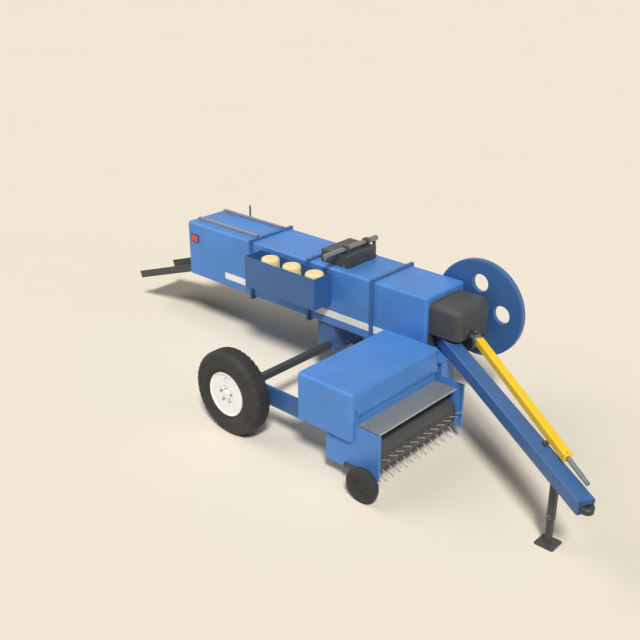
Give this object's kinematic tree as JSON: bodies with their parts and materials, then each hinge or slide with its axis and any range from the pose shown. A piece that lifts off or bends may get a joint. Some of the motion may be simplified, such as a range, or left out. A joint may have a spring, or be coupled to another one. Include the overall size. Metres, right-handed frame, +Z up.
{
  "type": "hay baler",
  "caption": "Trailed small square hay baler with side pickup, long bale case, open flywheel, swinging drawbar and rear bale chute.",
  "frame": {"origin": "on the ground, at the middle of the machine's plan", "axes": "+X forwards towards the tractor, +Y to the machine's left, +Z up"},
  "size_m": [6.387, 2.213, 1.459],
  "materials": {
    "body_blue": "smooth enamel",
    "frame_blue": "smooth enamel",
    "dark_steel": "dark forged steel",
    "bare_steel": "worn bare steel",
    "dark_paint": "satin dark grey paint",
    "reflector_red": "prismatic",
    "twine": "wound sisal fibre",
    "tyre": "dusty rubber",
    "rim_white": "white enamel",
    "guard_yellow": "moulded plastic"
  },
  "bodies": {
    "chassis": {"case_floor": "body_blue", "case_roof": "body_blue", "case_left_wall": "body_blue", "case_right_wall": "body_blue", "case_front_panel": "body_blue", "hoop_posts": "frame_blue", "hoop_crossbars": "frame_blue", "tension_rails": "bare_steel", "tension_rod": "dark_steel", "reflectors": "reflector_red", "knotter_cover": "dark_paint", "knotter_bearings": "dark_paint", "twine_box": "frame_blue", "twine_balls": "twine", "axle_leg": "frame_blue", "axle_beam": "dark_paint", "axle_spindles": "bare_steel", "outer_arm": "frame_blue", "feed_housing": "body_blue", "pickup_pivot_shaft": "dark_steel", "gearbox": "dark_paint", "pivot_frame": "body_blue", "chute_hinge": "dark_paint"},
    "plunger": {"plunger": "dark_steel"},
    "knotter_shaft": {"knotter_shaft": "bare_steel"},
    "right_wheel": {"right_tyre": "tyre", "right_rim": "rim_white"},
    "left_wheel": {"left_tyre": "tyre", "left_rim": "rim_white"},
    "auger": {"feed_auger": "dark_paint"},
    "pickup": {"pickup_right_panel": "body_blue", "pickup_left_panel": "body_blue", "pickup_shield": "body_blue", "windguard": "bare_steel", "gauge_arm": "dark_paint"},
    "reel": {"reel_drum": "dark_paint", "reel_tines": "bare_steel"},
    "gauge_wheel": {"gauge_wheel": "tyre"},
    "flywheel": {"flywheel": "frame_blue"},
    "input_yoke": {"input_yoke": "dark_steel"},
    "drive_guard": {"drive_guard": "guard_yellow"},
    "drive_shaft": {"drive_shaft": "bare_steel"},
    "drawbar": {"drawbar": "frame_blue", "hitch_eye": "dark_steel", "shaft_rest": "dark_paint", "jack_sleeve": "dark_paint"},
    "jack": {"jack_leg": "dark_paint"},
    "chute": {"bale_chute": "dark_paint"}
  },
  "joints": [
    {"name": "right_wheel_spin", "type": "hinge", "parent": "chassis", "child": "right_wheel", "pos_m": [-0.16302, 0.5535, 0.4], "axis": [0, 1, 0], "continuous": true},
    {"name": "left_wheel_spin", "type": "hinge", "parent": "chassis", "child": "left_wheel", "pos_m": [-0.16302, 0.5535, 0.4], "axis": [0, 1, 0], "continuous": true},
    {"name": "flywheel_spin", "type": "hinge", "parent": "chassis", "child": "flywheel", "pos_m": [1.14698, 0.8615, 0.996], "axis": [0, 1, 0], "continuous": true},
    {"name": "auger_spin", "type": "hinge", "parent": "chassis", "child": "auger", "pos_m": [0.88698, -0.37575, 0.655], "axis": [0, 1, 0], "continuous": true},
    {"name": "knotter_shaft_spin", "type": "hinge", "parent": "chassis", "child": "knotter_shaft", "pos_m": [-0.07102, 0.5535, 1.389], "axis": [0, 1, 0], "continuous": true},
    {"name": "plunger_slide", "type": "slide", "parent": "chassis", "child": "plunger", "axis": [-1, 0, 0], "range_m": [0, 0.45]},
    {"name": "pickup_lift", "type": "hinge", "parent": "chassis", "child": "pickup", "pos_m": [0.96698, -0.37575, 0.398], "axis": [0, -1, 0], "range_deg": [0, 15]},
    {"name": "reel_spin", "type": "hinge", "parent": "pickup", "child": "reel", "pos_m": [1.26198, -0.37575, 0.28], "axis": [0, 1, 0], "continuous": true},
    {"name": "gauge_wheel_spin", "type": "hinge", "parent": "pickup", "child": "gauge_wheel", "pos_m": [1.40698, -1.1065, 0.153], "axis": [0, 1, 0], "continuous": true},
    {"name": "drawbar_swing", "type": "hinge", "parent": "chassis", "child": "drawbar", "pos_m": [1.14698, 0.4025, 0.808], "axis": [0, 0, 1], "range_deg": [0, 29.8]},
    {"name": "jack_slide", "type": "slide", "parent": "drawbar", "child": "jack", "axis": [0, 0, 1], "range_m": [0, 0.19]},
    {"name": "drive_guard_swing", "type": "hinge", "parent": "chassis", "child": "drive_guard", "pos_m": [1.39698, 0.45, 0.9357], "axis": [0, 0, 1], "range_deg": [0, 33.5]},
    {"name": "drive_shaft_spin", "type": "hinge", "parent": "drive_guard", "child": "drive_shaft", "pos_m": [1.39698, 0.45, 0.9357], "axis": [0.8348, -0.5392, -0.1115], "continuous": true},
    {"name": "input_yoke_spin", "type": "hinge", "parent": "chassis", "child": "input_yoke", "pos_m": [1.39698, 0.45, 0.9357], "axis": [1, 0, 0], "continuous": true},
    {"name": "chute_fold", "type": "hinge", "parent": "chassis", "child": "chute", "pos_m": [-2.22302, 0.5535, 0.626], "axis": [0, 1, 0], "range_deg": [0, 98]}
  ],
  "couplings": [
    {"joint": "drive_guard_swing", "follows": "drawbar_swing", "ratio": 1.115},
    {"joint": "input_yoke_spin", "follows": "drive_shaft_spin", "ratio": 1}
  ]
}
